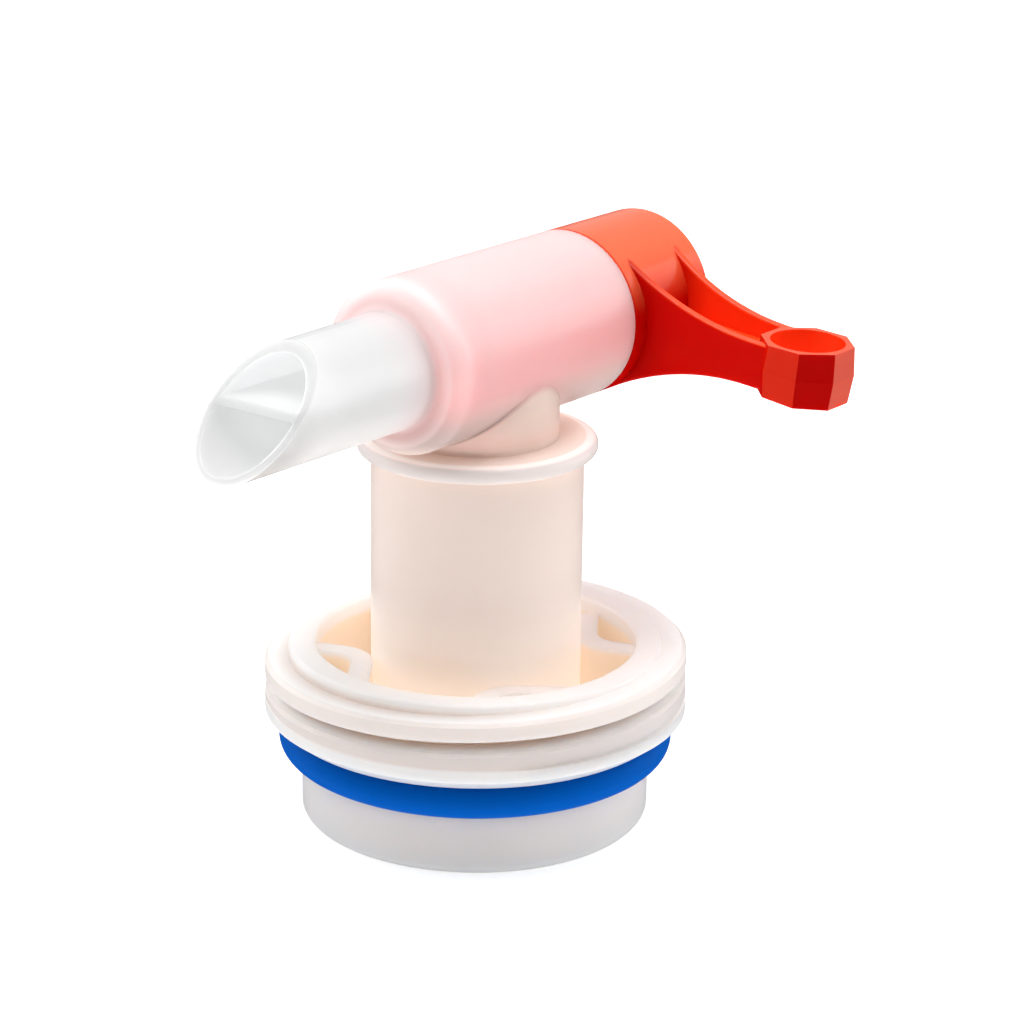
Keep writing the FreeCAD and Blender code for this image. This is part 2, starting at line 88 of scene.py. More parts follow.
class DrumTapBodyFinish(bpy.types.PropertyGroup):
    """Finish of the natural polyethylene tap body."""

    spout: colour_property("Spout", "Cool milky white of the empty spout", (0.75, 0.75, 0.75))
    spout_low: colour_property("Spout, liquid side", "Spout wall under the divider",
                               (0.78, 0.775, 0.77))
    spout_streak: colour_property("Spout, streaks", "Faint streaks along the spout",
                                  (0.88, 0.87, 0.87))
    # Painted shade: grey on the spout's skyline
    spout_skyline_shade: colour_property("Spout, skyline", "Greyer skyline of the spout",
                                (0.60, 0.60, 0.61))
    cut: colour_property("Spout, cut", "Slanted end of the spout's wall", (0.60, 0.60, 0.60))
    # Painted shade: darker inside the spout's channels, lifted by the channel light
    bore_shade: colour_property("Spout, channels", "Inside of the spout", (0.37, 0.385, 0.39))
    # Painted shade: darker wall and cut near the spout's tip
    tip_wall_shade: colour_property("Spout, lip", "Thin wall near the spout's tip", (0.27, 0.27, 0.27))
    tip_cut_shade: colour_property("Spout, cut lip", "Slanted end near the spout's tip",
                             (0.38, 0.38, 0.38))
    # Pink of the red core through the wall, paler on top as painted light
    barrel_lit_top: colour_property("Barrel, top", "Palest pink over the red core",
                                (0.97, 0.64, 0.64))
    barrel_middle: colour_property("Barrel, middle", "Strongest pink, at the sides",
                                   (0.96, 0.345, 0.345))
    # Painted shade: duller pink underneath, dullest under the front
    barrel_shaded_low: colour_property("Barrel, low", "Duller pink underneath",
                                (0.79, 0.595, 0.55))
    barrel_shaded_low_front: colour_property("Barrel, low front", "Dullest pink, under the front",
                                      (0.41, 0.33, 0.31))
    # Painted shade: grey on the barrel's skyline
    barrel_skyline_shade: colour_property("Barrel, skyline", "Greyer skyline of the barrel",
                                 (0.78, 0.60, 0.59))
    barrel_front: colour_property("Barrel, front", "Pale ring round the spout's root",
                                  (0.90, 0.72, 0.71))
    shoulder: colour_property("Shoulder", "Pale rounded edge in front of the core",
                              (0.94, 0.76, 0.75))
    # Painted shade round the spout's root
    crease_shade: colour_property("Crease", "Rosy shade round the spout's root", (0.66, 0.42, 0.40))
    neck: colour_property("Neck", "Warm beige of the neck", (0.90, 0.77, 0.71))
    neck_cloud: colour_property("Neck, clouds", "Darker clouds in the neck",
                                (0.78, 0.70, 0.66))
    # Painted light from the cup: lighter beige at the neck's foot
    neck_foot_light: colour_property("Neck, foot", "Lighter beige by the cup", (0.97, 0.88, 0.80))
    pedestal: colour_property("Pedestal", "Peach under the barrel", (0.95, 0.68, 0.59))
    # Pale flange, paler on top as painted light
    flange: colour_property("Flange", "Pale collar at the top of the neck", (0.90, 0.80, 0.77))
    # Painted shade on the flange's rounded edge
    flange_edge_shade: colour_property("Flange, edge", "Greyer rounded edge of the flange",
                                 (0.60, 0.56, 0.55))
    core_light: colour_property("Core light", "Pink light from the red core",
                                (1.0, 0.58, 0.56))
    channel_light: colour_property("Channel light", "White light in the spout's channels",
                                   (0.985, 0.99, 0.98))
    cup_light: colour_property("Cup light", "Warm light from the cup on the neck and flange",
                               (1.0, 0.82, 0.72))
    glow: FloatProperty(name="Glow", description="Light that comes through the spout's wall",
                        default=0.36, min=0.0)
    core_glow: FloatProperty(name="Core glow", description="Red light that the core sends out",
                             default=0.17, min=0.0)
    roughness: FloatProperty(name="Roughness", description="How dull the plastic is",
                             default=0.34, min=0.0, max=1.0, subtype="FACTOR")


class DrumTapPlugFinish(bpy.types.PropertyGroup):
    """Finish of the drum plug."""

    rim: colour_property("Rim", "Creamy white of the rim and thread", (0.93, 0.895, 0.88))
    # Painted shade: darker grey low down than on the rim
    shaded_skirt: colour_property("Skirt", "Light grey of the skirt", (0.76, 0.755, 0.745))
    # Painted shade between the thread's turns
    groove_shade: colour_property("Groove", "Brownish shade between the threads",
                            (0.46, 0.32, 0.25))
    # Painted shade on the thread's outer faces
    crest_shade: colour_property("Crest", "Duller outer face of the thread", (0.78, 0.70, 0.67))
    # Painted shade: peach inside the cup
    cup: colour_property("Cup", "Peach inside of the cup", (0.77, 0.67, 0.55))
    cloud: colour_property("Clouds", "Paler clouds in the moulding", (0.95, 0.93, 0.92))
    light: colour_property("Light", "Warm light in the cup", (1.0, 0.76, 0.60))
    glow: FloatProperty(name="Glow", description="Light that comes through the cup's wall",
                        default=0.20, min=0.0)
    roughness: FloatProperty(name="Roughness", description="How dull the plastic is",
                             default=0.38, min=0.0, max=1.0, subtype="FACTOR")


class DrumTapLeverFinish(bpy.types.PropertyGroup):
    """Finish of the red lever and core."""

    side: colour_property("Sides", "Red of the upright faces", (0.62, 0.002, 0.0008))
    top: colour_property("Tops", "Orange-red of the faces that the light falls on",
                         (0.98, 0.080, 0.013))
    # Painted shade: deeper red on the facet beside the eye's end and at the near rib's root
    deep: colour_property("Deep red", "Deeper red in thick places", (0.45, 0.001, 0.0005))
    # Painted highlight on the cap's lit top
    cap: colour_property("Cap", "Orange of the cap's lit top", (1.0, 0.16, 0.064))
    # Painted highlight on the end facet of the eye
    facet: colour_property("End facet", "Pale facet at the lever's tip", (0.62, 0.095, 0.062))
    # Painted reflection: faint orange sheen on the eye's facet towards the spout
    side_facet_reflection: colour_property("Side facet", "Facet of the eye on the spout's side",
                                (0.66, 0.026, 0.010))
    light: colour_property("Light", "Red light between the ribs and in the eye",
                           (1.0, 0.03, 0.004))
    glow: FloatProperty(name="Glow", description="Light between the ribs and in the eye",
                        default=0.16, min=0.0)
    roughness: FloatProperty(name="Roughness", description="How dull the plastic is",
                             default=0.20, min=0.0, max=1.0, subtype="FACTOR")


class DrumTapSealFinish(bpy.types.PropertyGroup):
    """Finish of the rubber seals."""

    o_ring: colour_property("O-ring", "Blue of the plug's O-ring", (0.0, 0.107, 0.52))
    washer: colour_property("Washer", "Dark grey of the foot washer", (0.05, 0.05, 0.055))


class DrumTapStudio(bpy.types.PropertyGroup):
    """Plain studio round the tap."""

    floor_width: FloatProperty(name="Floor width", description="Side of the pale floor",
                               default=6.0, min=1.0, unit="LENGTH")
    world_light: FloatProperty(name="Surround", description="Light from all round",
                               default=0.55, min=0.0)
    dark_side: FloatProperty(name="Dark side", description="Light from the flagged side",
                             default=0.04, min=0.0)
    top_light: FloatProperty(name="Top light", description="Power of the light above",
                             default=3.2, min=0.0, unit="POWER")
    side_light: FloatProperty(name="Side light", description="Power of each light at a side",
                              default=0.9, min=0.0, unit="POWER")
    lens: FloatProperty(name="Lens", description="Focal length for a 36 mm wide picture",
                        default=106.5, min=10.0)


# Node helpers


class Nodes:
    """A node tree under construction, with short ways to add nodes."""

    def __init__(self, tree):
        self.tree = tree

    def link(self, value, socket):
        """Sets a socket to a number or colour, or links another socket to it."""
        if isinstance(value, bpy.types.NodeSocket):
            self.tree.links.new(value, socket)
        elif isinstance(value, (int, float)):
            socket.default_value = value
        elif len(socket.default_value) == 4:
            socket.default_value = (*value[:3], 1.0)
        else:
            socket.default_value = value

    def math(self, operation, first, second=0.0, third=0.0):
        """One sum of up to three numbers."""
        node = self.tree.nodes.new("ShaderNodeMath")
        node.operation = operation
        for socket, value in zip(node.inputs, (first, second, third)):
            self.link(value, socket)
        return node.outputs[0]

    def both(self, first, second):
        """Product of two numbers, for masks where both hold."""
        return self.math("MULTIPLY", first, second)

    def rest_of(self, mask):
        """Where a mask doesn't hold."""
        return self.math("SUBTRACT", 1.0, mask)

    def distance(self, first, second):
        """Length of two parts at right angles, such as a radius from x and y."""
        return self.math("SQRT", self.math("ADD", self.both(first, first),
                                           self.both(second, second)))

    def ramp(self, value, low, high):
        """0 at low and 1 at high, smooth between; low may be the larger."""
        node = self.tree.nodes.new("ShaderNodeMapRange")
        node.interpolation_type = "SMOOTHSTEP"
        start, end = (0.0, 1.0) if low < high else (1.0, 0.0)
        self.link(value, node.inputs["Value"])
        self.link(min(low, high), node.inputs["From Min"])
        self.link(max(low, high), node.inputs["From Max"])
        self.link(start, node.inputs["To Min"])
        self.link(end, node.inputs["To Max"])
        return node.outputs["Result"]

    def mix(self, amount, low, high):
        """A colour between two others."""
        node = self.tree.nodes.new("ShaderNodeMix")
        node.data_type = "RGBA"
        self.link(amount, node.inputs["Factor"])
        self.link(low, node.inputs["A"])
        self.link(high, node.inputs["B"])
        return node.outputs["Result"]

    def split(self, vector):
        """The three parts of a vector."""
        node = self.tree.nodes.new("ShaderNodeSeparateXYZ")
        self.tree.links.new(vector, node.inputs[0])
        return node.outputs[0], node.outputs[1], node.outputs[2]

    def along(self, vector, direction):
        """How far a vector goes in a fixed direction."""
        node = self.tree.nodes.new("ShaderNodeVectorMath")
        node.operation = "DOT_PRODUCT"
        self.tree.links.new(vector, node.inputs[0])
        node.inputs[1].default_value = direction
        return node.outputs["Value"]


class Finish(Nodes):
    """A material under construction, with its shader and places fixed to the object."""

    def __init__(self, name):
        self.material = bpy.data.materials.new(name)
        self.material.use_nodes = True
        super().__init__(self.material.node_tree)
        self.shader = self.tree.nodes["Principled BSDF"]
        coordinates = self.tree.nodes.new("ShaderNodeTexCoord")
        self.place = coordinates.outputs["Object"]
        self.facing = coordinates.outputs["Normal"]
        self.x, self.y, self.z = self.split(self.place)

    def turned_to(self, direction, low, high):
        """How far the surface is turned to a direction fixed to the object, ramped."""
        return self.ramp(self.along(self.facing, direction), low, high)

    def noise(self, size, detail=3.0, roughness=0.5, stretch=(1.0, 1.0, 1.0)):
        """Soft noise whose blotches are about size metres across."""
        mapping = self.tree.nodes.new("ShaderNodeMapping")
        self.link(self.place, mapping.inputs["Vector"])
        mapping.inputs["Scale"].default_value = stretch
        node = self.tree.nodes.new("ShaderNodeTexNoise")
        self.tree.links.new(mapping.outputs[0], node.inputs["Vector"])
        node.inputs["Scale"].default_value = 1.0 / size
        node.inputs["Detail"].default_value = detail
        node.inputs["Roughness"].default_value = roughness
        return node.outputs["Fac"]

    def wandering(self, spread):
        """A number from -spread / 2 to spread / 2 that wanders with the mottle."""
        return self.math("MULTIPLY_ADD", self.noise(9 * MM, 4.0, 0.6), spread, -spread / 2)

    def relief(self, height, depth, below=None):
        """Bump of a given depth in metres, on top of another bump if given."""
        node = self.tree.nodes.new("ShaderNodeBump")
        node.inputs["Distance"].default_value = depth
        node.inputs["Strength"].default_value = 1.0
        self.link(height, node.inputs["Height"])
        if below is not None:
            self.link(below, node.inputs["Normal"])
        return node.outputs["Normal"]

    def moulded_skin(self, grain_depth, ripple_depth):
        """Fine grain and a faint large ripple, as on a moulded surface."""
        ripple = self.relief(self.noise(6 * MM, 2.0, 0.4), ripple_depth)
        return self.relief(self.noise(0.28 * MM, 2.0, 0.6), grain_depth, ripple)

    def set(self, **sockets):
        """Sets shader sockets, named with underscores for spaces."""
        for name, value in sockets.items():
            self.link(value, self.shader.inputs[name.replace("_", " ")])


def wear(node_name, material):
    """Gives a CAD node one material."""
    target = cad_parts[node_name]
    target.data.materials.clear()
    target.data.materials.append(material)


# Tap body


class BodyPlaces:
    """Measures and masks from 0 to 1 that tell the regions of the tap body apart."""

    def __init__(self, f):
        self.cloud = f.noise(14 * MM, 3.0, 0.55)
        self.over_axis = f.math("SUBTRACT", f.z, BARREL_AXIS_Z)
        self.across = f.distance(f.y, self.over_axis)
        self.low = f.ramp(self.over_axis, 9 * MM, -10 * MM)
        self.underneath = f.ramp(self.over_axis, 0, -8 * MM)
        self.near_cap = f.ramp(f.x, 20 * MM, -19 * MM)
        self.on_barrel = f.ramp(self.across, BARREL_R + 0.5 * MM, BARREL_R - 0.02 * MM)
        self.on_spout = f.both(
            f.ramp(f.x, BARREL_FRONT_X - 0.1 * MM, BARREL_FRONT_X + 0.9 * MM),
            f.ramp(self.across, 10.2 * MM, 9.0 * MM))
        self.under_divider = f.ramp(f.z, DIVIDER_Z + 0.5 * MM, DIVIDER_Z - 0.5 * MM)
        self.in_bore = f.both(
            f.ramp(self.across, SPOUT_BORE_R + 0.25 * MM, SPOUT_BORE_R + 0.05 * MM),
            f.ramp(f.x, BARREL_FRONT_X - 3 * MM, BARREL_FRONT_X + 3 * MM))
        # The cut slants at 45 degrees, so x and height over the axis add up to one value
        self.on_cut = f.ramp(f.math("ADD", f.x, self.over_axis),
                             SPOUT_END_X - 0.35 * MM, SPOUT_END_X - 0.05 * MM)
        self.at_foot = f.ramp(f.z, 34 * MM, 17 * MM)
        self.over_neck = f.ramp(f.z, FLANGE_TOP_Z + 0.2 * MM, FLANGE_TOP_Z + 1.4 * MM)
        radius = f.distance(f.x, f.y)
        on_flange = f.both(
            f.ramp(radius, 13.95 * MM, 14.3 * MM),
            f.ramp(f.z, FLANGE_TOP_Z - 3.5 * MM, FLANGE_TOP_Z - 2.6 * MM))
        self.on_flange = f.both(
            on_flange, f.ramp(f.z, FLANGE_TOP_Z + 0.6 * MM, FLANGE_TOP_Z + 0.2 * MM))
        self.on_flange_edge = f.ramp(radius, 15.0 * MM, 15.5 * MM)


def barrel_colour(f, p, settings):
    """Pink from the red core, pinkest at its sides, paler on top as painted light, duller
    underneath as painted shade, pale at the front.
    """
    # Paler towards the top as painted light, with random clouds
    tint = f.math("MULTIPLY_ADD", f.ramp(p.over_axis, 10.5 * MM, 1 * MM), 0.8,
                  f.both(p.near_cap, 0.15))
    tint = f.math("ADD", tint, f.both(f.math("SUBTRACT", p.cloud, 0.5), 0.16))
    colour = f.mix(tint, settings.barrel_lit_top, settings.barrel_middle)
    # Painted shade underneath the barrel
    dull = f.mix(p.near_cap, settings.barrel_shaded_low_front, settings.barrel_shaded_low)
    colour = f.mix(p.underneath, colour, dull)
    shoulder = f.ramp(f.x, BARREL_FRONT_X - 4 * MM, BARREL_FRONT_X - 1 * MM)
    shoulder = f.both(shoulder, f.math("MULTIPLY_ADD", p.low, -0.30, 0.40))
    colour = f.mix(shoulder, colour, settings.shoulder)
    # Painted shade greys the barrel's skyline
    skyline = f.turned_to(SKYLINE_SHADE_FACING, 0.88, 1.0)
    colour = f.mix(f.both(skyline, 0.5), colour, settings.barrel_skyline_shade)
    front = f.ramp(f.x, BARREL_FRONT_X - 0.4 * MM, BARREL_FRONT_X - 0.1 * MM)
    return f.mix(f.both(front, 0.35), colour, settings.barrel_front)


def spout_colour(f, p, settings):
    """Milky, with faint streaks, painted shade on its skyline and a painted pink reflection
    towards the barrel.
    """
    colour = f.mix(p.under_divider, settings.spout, settings.spout_low)
    streak = f.noise(5 * MM, 3.0, 0.5, (0.25, 1.0, 1.0))
    colour = f.mix(f.both(streak, 0.14), colour, settings.spout_streak)
    # Painted shade greys the spout's skyline
    skyline = f.turned_to(SKYLINE_SHADE_FACING, 0.72, 0.98)
    colour = f.mix(f.both(skyline, 0.9), colour, settings.spout_skyline_shade)
    # Painted reflection of the red barrel: pink near the spout's root, more of it low down
    painted_red_reflection = f.both(f.ramp(f.x, BARREL_FRONT_X + 9 * MM, BARREL_FRONT_X),
                   f.math("MULTIPLY_ADD", p.low, 0.35, 0.35))
    return f.mix(painted_red_reflection, colour, settings.barrel_lit_top)


def valve_colour(f, p, settings):
    """Barrel and spout, painted shade round the spout's root, and the spout's open end."""
    colour = f.mix(p.on_spout, barrel_colour(f, p, settings), spout_colour(f, p, settings))
    # Painted shade round the spout's root, more of it underneath
    crease_shade = f.both(f.ramp(f.x, BARREL_FRONT_X - 0.3 * MM, BARREL_FRONT_X + 0.1 * MM),
                    f.ramp(f.x, BARREL_FRONT_X + 1.9 * MM, BARREL_FRONT_X + 0.7 * MM))
    crease_shade = f.both(crease_shade, f.ramp(p.across, 9.8 * MM, 8.7 * MM))
    crease_shade = f.both(crease_shade, f.math("MULTIPLY_ADD", p.low, 0.50, 0.03))
    colour = f.mix(crease_shade, colour, settings.crease_shade)
    colour = f.mix(f.both(p.on_cut, 0.9), colour, settings.cut)
    # Painted shade inside the spout's channels
    colour = f.mix(f.both(p.in_bore, 0.9), colour, settings.bore_shade)
    # Painted shade near the spout's tip
    tip_shade_amount = f.ramp(f.x, 36 * MM, 46 * MM)
    return f.mix(f.both(tip_shade_amount, 0.85), colour,
                 f.mix(p.on_cut, settings.tip_wall_shade, settings.tip_cut_shade))


def neck_colour(f, p, settings):
    """Warm neck with painted light at its foot, peach pedestal, and flange with painted light
    on top and painted shade on its edge.
    """
    height = f.ramp(f.z, 20 * MM, 49 * MM)
    colour = f.mix(f.both(height, 0.35), settings.neck, settings.pedestal)
    colour = f.mix(f.both(p.cloud, 0.22), colour, settings.neck_cloud)
    # Painted light from the cup at the neck's foot
    colour = f.mix(p.at_foot, colour, settings.neck_foot_light)
    colour = f.mix(p.over_neck, colour, settings.pedestal)
    # Flange paler on top as painted light, darker at its edge as painted shade
    return f.mix(p.on_flange, colour,
                 f.mix(p.on_flange_edge, settings.flange, settings.flange_edge_shade))


def body_glow(f, p, settings):
    """Colour and strength of the light that comes out through the thin walls."""
    # White light in the channels, most in the shaded depth of the air channel
    channel = f.both(p.in_bore, f.math("MULTIPLY_ADD", p.on_cut, -0.4, 1.0))
    channel = f.both(channel, f.math("MULTIPLY_ADD", f.rest_of(p.under_divider), 0.35, 0.65))
    # Some of it leaves through the thin wall near the tip, on the lever's side
    outer_wall = f.both(f.both(p.on_spout, f.turned_to(TO_EYE, 0.85, 1.0)),
                        f.ramp(f.x, 36 * MM, 44 * MM))
    outer_wall = f.both(outer_wall, f.rest_of(p.in_bore))
    channel = f.math("MULTIPLY_ADD", outer_wall, 0.28, channel)
    # Pink light from the core, less underneath, some of it through the pedestal, where it
    # gathers deep down and under the barrel's front
    over_core = f.both(f.rest_of(p.on_spout), p.on_barrel)
    over_core = f.both(over_core, f.math("MULTIPLY_ADD", p.underneath, -0.7, 1.0))
    deep_down = f.ramp(f.z, 58.5 * MM, 53.5 * MM)
    overhung = f.math("MULTIPLY_ADD", f.ramp(f.x, 1 * MM, 10 * MM), 1.45, 0.40)
    pedestal = f.both(f.both(p.over_neck, f.rest_of(p.on_barrel)),
                      f.math("MULTIPLY_ADD", deep_down, overhung, 0.2))
    over_core = f.math("ADD", pedestal, over_core)
    strength = f.math("ADD", f.both(over_core, settings.core_glow),
                      f.both(channel, settings.glow))
    colour = f.mix(f.ramp(channel, 0.0, 0.1), settings.core_light, settings.channel_light)
    # Warm light on the neck, most at its foot, on the flange and in the gap over it
    warm = f.ramp(f.rest_of(f.math("ADD", p.over_neck, p.on_barrel)), 0.0, 1.0)
    warm = f.both(warm, f.math("MULTIPLY_ADD", p.at_foot, 0.24, 0.05))
    flange_top = f.both(p.on_flange, f.rest_of(p.on_flange_edge))
    warm = f.math("MULTIPLY_ADD", flange_top, 0.10, warm)
    gap = f.both(p.on_barrel, f.ramp(p.over_axis, -8.5 * MM, -10.5 * MM))
    warm = f.math("MULTIPLY_ADD", gap, 0.16, warm)
    colour = f.mix(f.ramp(warm, 0.0, 0.02), colour, settings.cup_light)
    return colour, f.math("ADD", strength, warm)


def body_material(settings):
    """Natural polyethylene: milky spout, barrel tinted by the red core inside it."""
    f = Finish("natural_pe_finish")
    p = BodyPlaces(f)
    colour = f.mix(p.on_barrel, neck_colour(f, p, settings), valve_colour(f, p, settings))
    glow_colour, glow = body_glow(f, p, settings)
    f.set(Base_Color=colour,
          Roughness=f.math("ADD", f.wandering(0.12), settings.roughness),
          Subsurface_Weight=1.0, Subsurface_Scale=7.0 * MM,
          Subsurface_Radius=(1.0, 1.0, 1.0), Specular_IOR_Level=0.35, IOR=1.5,
          Coat_Weight=0.08, Coat_Roughness=0.22,
          Emission_Color=glow_colour, Emission_Strength=glow,
          Normal=f.moulded_skin(0.006 * MM, 0.05 * MM))
    return f.material


# Drum plug


def outside_of_plug(f, radius, settings):
    """Creamy rim with painted shade: darker grey low down, duller outer faces of the thread
    and brownish grooves in the thread.
    """
    # Darker grey low down as painted shade
    colour = f.mix(f.ramp(f.z, 14.8 * MM, 17.4 * MM), settings.shaded_skirt, settings.rim)
    over_collar = f.ramp(f.z, COLLAR_TOP_Z - 0.3 * MM, COLLAR_TOP_Z + 0.3 * MM)
    # Painted shade between the thread's turns
    groove_shade = f.both(
        f.ramp(radius, THREAD_CREST_R - 0.7 * MM, THREAD_ROOT_R + 0.3 * MM), over_collar)
    groove_shade = f.both(groove_shade, f.ramp(f.z, THREAD_TOP_Z + 0.4 * MM, THREAD_TOP_Z - 0.4 * MM))
    groove_shade = f.both(
        groove_shade, f.ramp(radius, THREAD_ROOT_R - 1.6 * MM, THREAD_ROOT_R - 0.8 * MM))
    colour = f.mix(f.both(groove_shade, 0.26), colour, settings.groove_shade)
    # Painted shade on the thread's outer faces
    crest_shade = f.both(
        f.ramp(radius, THREAD_CREST_R - 0.9 * MM, THREAD_CREST_R - 0.3 * MM), over_collar)
    return f.mix(crest_shade, colour, settings.crest_shade)


def plug_material(settings):
    """Slightly translucent white moulding, with painted warm shade and painted light in the
    cup and painted shade low down and in the thread.
    """
    f = Finish("plug_pe_finish")
    radius = f.distance(f.x, f.y)
    cloud = f.noise(12 * MM, 3.0, 0.55)
    # Peach inside the cup as painted warm shade, with the glow's painted light on top
    in_cup = f.both(f.ramp(radius, CUP_R + 0.3 * MM, CUP_R - 0.2 * MM),
                    f.ramp(f.z, 22.35 * MM, 21.4 * MM))
    in_cup = f.both(in_cup, f.math("MULTIPLY_ADD", cloud, 0.3, 0.8))
    colour = f.mix(in_cup, outside_of_plug(f, radius, settings), settings.cup)
    colour = f.mix(f.both(cloud, 0.14), colour, settings.cloud)
    f.set(Base_Color=colour,
          Roughness=f.math("ADD", f.wandering(0.12), settings.roughness),
          Subsurface_Weight=1.0, Subsurface_Scale=6.0 * MM,
          Subsurface_Radius=(1.0, 0.9, 0.8), Specular_IOR_Level=0.35, IOR=1.5,
          Coat_Weight=0.08, Coat_Roughness=0.25,
          Emission_Color=settings.light, Emission_Strength=f.both(in_cup, settings.glow),
          Normal=f.moulded_skin(0.007 * MM, 0.05 * MM))
    return f.material


# Lever


def lit_lever(f, settings):
    """Orange where light falls on the lever, deep red at its sides."""
    cloud = f.noise(8 * MM, 3.0, 0.5)
    lit = f.math("ADD", f.turned_to(UP, 0.05, 0.9),
                 f.both(f.math("SUBTRACT", cloud, 0.5), 0.2))
    return f.mix(lit, settings.side, settings.top)


def eye_facets(f, from_eye, colour, settings):
    """Facets round the eye: a painted highlight on its end, painted shade on the one beside
    it, a faint painted reflection on the one towards the spout.
    """
    on_eye = f.both(f.ramp(f.y, EYE_START_Y - 0.2 * MM, EYE_START_Y + 0.2 * MM),
                    f.ramp(from_eye, EYE_R - 0.1 * MM, EYE_R + 0.1 * MM))
    # Painted reflection on the facet towards the spout
    facet = f.both(f.ramp(f.y, 29.8 * MM, 30.0 * MM), f.turned_to(TO_SPOUT, 0.90, 0.97))
    colour = f.mix(facet, colour, settings.side_facet_reflection)
    # Painted shade on the facet beside the end
    facet = f.both(on_eye, f.turned_to(EYE_CORNER, 0.90, 0.97))
    colour = f.mix(facet, colour, settings.deep)
    # Painted highlight on the end facet
    facet = f.both(on_eye, f.turned_to(TO_EYE, 0.90, 0.97))
    return f.mix(facet, colour, settings.facet)


def lever_hollows(f, offset, from_eye):
    """Mask of the ribs' inner faces and the eye, where light comes back from all sides."""
    outward = f.both(offset, f.turned_to(TO_SPOUT, -1.0, 1.0))
    inward = f.both(offset, f.turned_to(FROM_SPOUT, -1.0, 1.0))
    between = f.ramp(f.math("SUBTRACT", inward, outward), 1.5 * MM, 3 * MM)
    between = f.both(between, f.ramp(f.math("ABSOLUTE", offset), 6.5 * MM, 6.0 * MM))
    between = f.both(between, f.ramp(f.y, 8 * MM, 16 * MM))
    between = f.both(
        between, f.ramp(f.y, EYE_START_Y + 0.2 * MM, EYE_START_Y - 0.2 * MM))
    in_eye = f.both(f.ramp(from_eye, EYE_R + 0.1 * MM, EYE_R - 0.1 * MM),
                    f.turned_to(UP, 0.6, 0.4))
    return f.math("ADD", between, in_eye)


def lever_material(settings):
    """Glossy red moulding: orange where light falls on it, deep at its sides."""
    f = Finish("red_plastic_finish")
    offset = f.math("SUBTRACT", f.x, EYE_X)
    from_eye = f.distance(offset, f.math("SUBTRACT", f.y, EYE_Y))
    hollow = lever_hollows(f, offset, from_eye)
    colour = eye_facets(f, from_eye, lit_lever(f, settings), settings)
    colour = f.mix(f.both(hollow, 0.6), colour, settings.top)
    # Root of the near rib, thick and in the cap's shade
    root = f.both(f.ramp(f.x, -23.5 * MM, -20.5 * MM), f.ramp(f.y, 17 * MM, 9 * MM))
    colour = f.mix(f.both(root, 0.7), colour, settings.deep)
    over_axis = f.math("SUBTRACT", f.z, BARREL_AXIS_Z)
    across = f.distance(f.y, over_axis)
    # Painted highlight on the cap's lit top
    cap_top = f.both(f.ramp(across, BARREL_R + 0.12 * MM, BARREL_R + 0.02 * MM),
                     f.ramp(across, BARREL_R - 1.0 * MM, BARREL_R - 0.3 * MM))
    cap_top = f.both(cap_top, f.ramp(over_axis, 1 * MM, 9 * MM))
    colour = f.mix(cap_top, colour, settings.cap)
    # Gloss on the faces that look up, next to none at the sides
    gloss = f.math("MULTIPLY_ADD", f.turned_to(UP, 0.2, 0.8), 0.26, 0.04)
    f.set(Base_Color=colour,
          Roughness=f.math("ADD", f.wandering(0.10), settings.roughness),
          Subsurface_Weight=0.35, Subsurface_Scale=2.5 * MM,
          Subsurface_Radius=(1.0, 0.12, 0.05), Specular_IOR_Level=gloss, IOR=1.5,
          Coat_Weight=0.03, Coat_Roughness=0.12,
          Emission_Color=settings.light, Emission_Strength=f.both(hollow, settings.glow),
          Normal=f.moulded_skin(0.003 * MM, 0.05 * MM))
    return f.material


# Seals


def rubber_material(name, colour, roughness, grain):
    """Smooth rubber with a slight bloom."""
    f = Finish(name)
    bloom = f.noise(3.0 * MM, 4.0, 0.6)
    bloomed = tuple(0.85 * part + 0.004 for part in colour)
    f.set(Base_Color=f.mix(f.both(bloom, 0.35), colour, bloomed),
          Roughness=f.math("ADD", f.wandering(0.14), roughness),
          IOR=1.5, Specular_IOR_Level=0.01,
          Normal=f.moulded_skin(grain, 0.03 * MM))
    return f.material


# Operators


class DRUMTAP_OT_dress_body(bpy.types.Operator):
    """Give the tap body its natural polyethylene"""

    bl_idname = "drumtap.dress_body"
    bl_label = "Dress Tap Body"

    def execute(self, context):
        wear("tap_body", body_material(context.scene.drumtap_body))
        return {"FINISHED"}


class DRUMTAP_OT_dress_plug(bpy.types.Operator):
    """Give the drum plug its white plastic"""

    bl_idname = "drumtap.dress_plug"
    bl_label = "Dress Drum Plug"

    def execute(self, context):
        wear("drum_plug", plug_material(context.scene.drumtap_plug))
        return {"FINISHED"}


class DRUMTAP_OT_dress_lever(bpy.types.Operator):
    """Give the lever and core their red plastic"""

    bl_idname = "drumtap.dress_lever"
    bl_label = "Dress Lever"

    def execute(self, context):
        wear("lever_core", lever_material(context.scene.drumtap_lever))
        return {"FINISHED"}


class DRUMTAP_OT_dress_seals(bpy.types.Operator):
    """Give the O-ring and the foot washer their rubber"""

    bl_idname = "drumtap.dress_seals"
    bl_label = "Dress Seals"

    def execute(self, context):
        settings = context.scene.drumtap_seals
        wear("plug_o_ring", rubber_material("blue_rubber_finish", settings.o_ring,
                                            roughness=0.36, grain=0.004 * MM))
        wear("foot_washer", rubber_material("washer_rubber_finish", settings.washer,
                                            roughness=0.6, grain=0.01 * MM))
        return {"FINISHED"}


def soft_light(scene, name, place, size, power):
    """A square area light that points at the middle of the tap."""
    data = bpy.data.lights.new(name, "AREA")
    data.shape = "SQUARE"
    data.size = size
    data.energy = power
    light = bpy.data.objects.new(name, data)
    scene.collection.objects.link(light)
    light.location = place
    aim = Vector(LIGHT_TARGET) - Vector(place)
    light.rotation_euler = aim.to_track_quat("-Z", "Y").to_euler()


